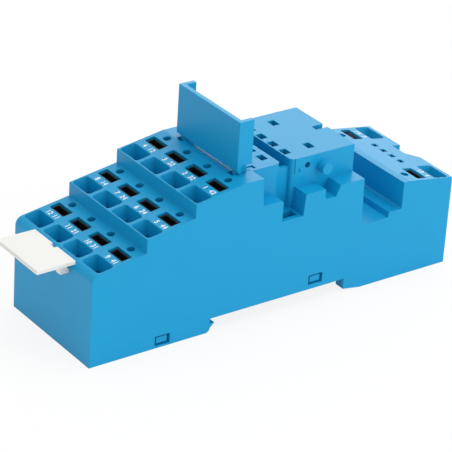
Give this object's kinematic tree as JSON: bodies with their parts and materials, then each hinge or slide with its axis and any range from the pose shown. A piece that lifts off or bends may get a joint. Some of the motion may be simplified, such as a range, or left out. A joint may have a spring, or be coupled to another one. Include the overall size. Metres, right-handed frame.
{
  "type": "relay socket",
  "caption": "Rail-mounted relay socket with stepped push-in terminal decks, a retaining clip, a marker tag and a sprung rail latch",
  "frame": {"origin": "middle of the rail seat, in the plane that rests on the rail's front face", "axes": "+X from the contact terminals to the coil terminals, +Z away from the rail"},
  "size_m": [0.1073, 0.031, 0.0474],
  "materials": {
    "housing_plastic": "smooth moulded polyamide, light blue",
    "cover_plastic": "smooth moulded polyamide, light blue",
    "clip_plastic": "smooth moulded polyamide, light blue",
    "latch_plastic": "smooth moulded polyamide, light blue",
    "button_plastic": "black moulded plastic",
    "tag_plastic": "white moulded plastic",
    "spring_steel": "bright rolled spring steel",
    "contact_brass": "stamped brass, plain"
  },
  "bodies": {
    "socket": {"housing": "housing_plastic", "base_cover": "cover_plastic", "marker_tag": "tag_plastic", "latch_spring": "spring_steel", "contact_strip_1": "contact_brass", "contact_strip_2": "contact_brass", "contact_strip_3": "contact_brass", "contact_strip_4": "contact_brass", "contact_strip_5": "contact_brass", "contact_strip_6": "contact_brass", "contact_strip_7": "contact_brass", "contact_strip_8": "contact_brass", "contact_strip_9": "contact_brass", "contact_strip_10": "contact_brass", "contact_strip_11": "contact_brass", "contact_strip_12": "contact_brass", "contact_strip_13": "contact_brass", "contact_strip_14": "contact_brass", "clamp_spring_1": "spring_steel", "clamp_spring_2": "spring_steel", "clamp_spring_3": "spring_steel", "clamp_spring_4": "spring_steel", "clamp_spring_5": "spring_steel", "clamp_spring_6": "spring_steel", "clamp_spring_7": "spring_steel", "clamp_spring_8": "spring_steel", "clamp_spring_9": "spring_steel", "clamp_spring_10": "spring_steel", "clamp_spring_11": "spring_steel", "clamp_spring_12": "spring_steel", "clamp_spring_13": "spring_steel", "clamp_spring_14": "spring_steel"},
    "release_button_1": {"release_button_1": "button_plastic"},
    "release_button_2": {"release_button_2": "button_plastic"},
    "release_button_3": {"release_button_3": "button_plastic"},
    "release_button_4": {"release_button_4": "button_plastic"},
    "release_button_5": {"release_button_5": "button_plastic"},
    "release_button_6": {"release_button_6": "button_plastic"},
    "release_button_7": {"release_button_7": "button_plastic"},
    "release_button_8": {"release_button_8": "button_plastic"},
    "release_button_9": {"release_button_9": "button_plastic"},
    "release_button_10": {"release_button_10": "button_plastic"},
    "release_button_11": {"release_button_11": "button_plastic"},
    "release_button_12": {"release_button_12": "button_plastic"},
    "release_button_13": {"release_button_13": "button_plastic"},
    "release_button_14": {"release_button_14": "button_plastic"},
    "clip": {"retaining_clip": "clip_plastic"},
    "latch": {"rail_latch": "latch_plastic"}
  },
  "joints": [
    {"name": "button_press_1", "type": "slide", "parent": "socket", "child": "release_button_1", "axis": [0.1564, 0, -0.9877], "range_m": [0, 0.0012], "stiffness_N_per_m": 8000, "springref_m": -0.0003, "deforming": ["clamp_spring_1"]},
    {"name": "button_press_2", "type": "slide", "parent": "socket", "child": "release_button_2", "axis": [0.1564, 0, -0.9877], "range_m": [0, 0.0012], "stiffness_N_per_m": 8000, "springref_m": -0.0003, "deforming": ["clamp_spring_2"]},
    {"name": "button_press_3", "type": "slide", "parent": "socket", "child": "release_button_3", "axis": [0.1564, 0, -0.9877], "range_m": [0, 0.0012], "stiffness_N_per_m": 8000, "springref_m": -0.0003, "deforming": ["clamp_spring_3"]},
    {"name": "button_press_4", "type": "slide", "parent": "socket", "child": "release_button_4", "axis": [0.1564, 0, -0.9877], "range_m": [0, 0.0012], "stiffness_N_per_m": 8000, "springref_m": -0.0003, "deforming": ["clamp_spring_4"]},
    {"name": "button_press_5", "type": "slide", "parent": "socket", "child": "release_button_5", "axis": [0.1564, 0, -0.9877], "range_m": [0, 0.0012], "stiffness_N_per_m": 8000, "springref_m": -0.0003, "deforming": ["clamp_spring_5"]},
    {"name": "button_press_6", "type": "slide", "parent": "socket", "child": "release_button_6", "axis": [0.1564, 0, -0.9877], "range_m": [0, 0.0012], "stiffness_N_per_m": 8000, "springref_m": -0.0003, "deforming": ["clamp_spring_6"]},
    {"name": "button_press_7", "type": "slide", "parent": "socket", "child": "release_button_7", "axis": [0.1564, 0, -0.9877], "range_m": [0, 0.0012], "stiffness_N_per_m": 8000, "springref_m": -0.0003, "deforming": ["clamp_spring_7"]},
    {"name": "button_press_8", "type": "slide", "parent": "socket", "child": "release_button_8", "axis": [0.1564, 0, -0.9877], "range_m": [0, 0.0012], "stiffness_N_per_m": 8000, "springref_m": -0.0003, "deforming": ["clamp_spring_8"]},
    {"name": "button_press_9", "type": "slide", "parent": "socket", "child": "release_button_9", "axis": [0.1564, 0, -0.9877], "range_m": [0, 0.0012], "stiffness_N_per_m": 8000, "springref_m": -0.0003, "deforming": ["clamp_spring_9"]},
    {"name": "button_press_10", "type": "slide", "parent": "socket", "child": "release_button_10", "axis": [0.1564, 0, -0.9877], "range_m": [0, 0.0012], "stiffness_N_per_m": 8000, "springref_m": -0.0003, "deforming": ["clamp_spring_10"]},
    {"name": "button_press_11", "type": "slide", "parent": "socket", "child": "release_button_11", "axis": [0.1564, 0, -0.9877], "range_m": [0, 0.0012], "stiffness_N_per_m": 8000, "springref_m": -0.0003, "deforming": ["clamp_spring_11"]},
    {"name": "button_press_12", "type": "slide", "parent": "socket", "child": "release_button_12", "axis": [0.1564, 0, -0.9877], "range_m": [0, 0.0012], "stiffness_N_per_m": 8000, "springref_m": -0.0003, "deforming": ["clamp_spring_12"]},
    {"name": "button_press_13", "type": "slide", "parent": "socket", "child": "release_button_13", "axis": [-0.1564, 0, -0.9877], "range_m": [0, 0.0012], "stiffness_N_per_m": 8000, "springref_m": -0.0003, "deforming": ["clamp_spring_13"]},
    {"name": "button_press_14", "type": "slide", "parent": "socket", "child": "release_button_14", "axis": [-0.1564, 0, -0.9877], "range_m": [0, 0.0012], "stiffness_N_per_m": 8000, "springref_m": -0.0003, "deforming": ["clamp_spring_14"]},
    {"name": "clip_pivot", "type": "hinge", "parent": "socket", "child": "clip", "pos_m": [-0.0093, 0, 0.0285], "axis": [0, -1, 0], "range_deg": [0, 20]},
    {"name": "latch_slide", "type": "slide", "parent": "socket", "child": "latch", "axis": [1, 0, 0], "range_m": [0, 0.0025], "stiffness_N_per_m": 1500, "springref_m": -0.001, "deforming": ["latch_spring"]}
  ]
}
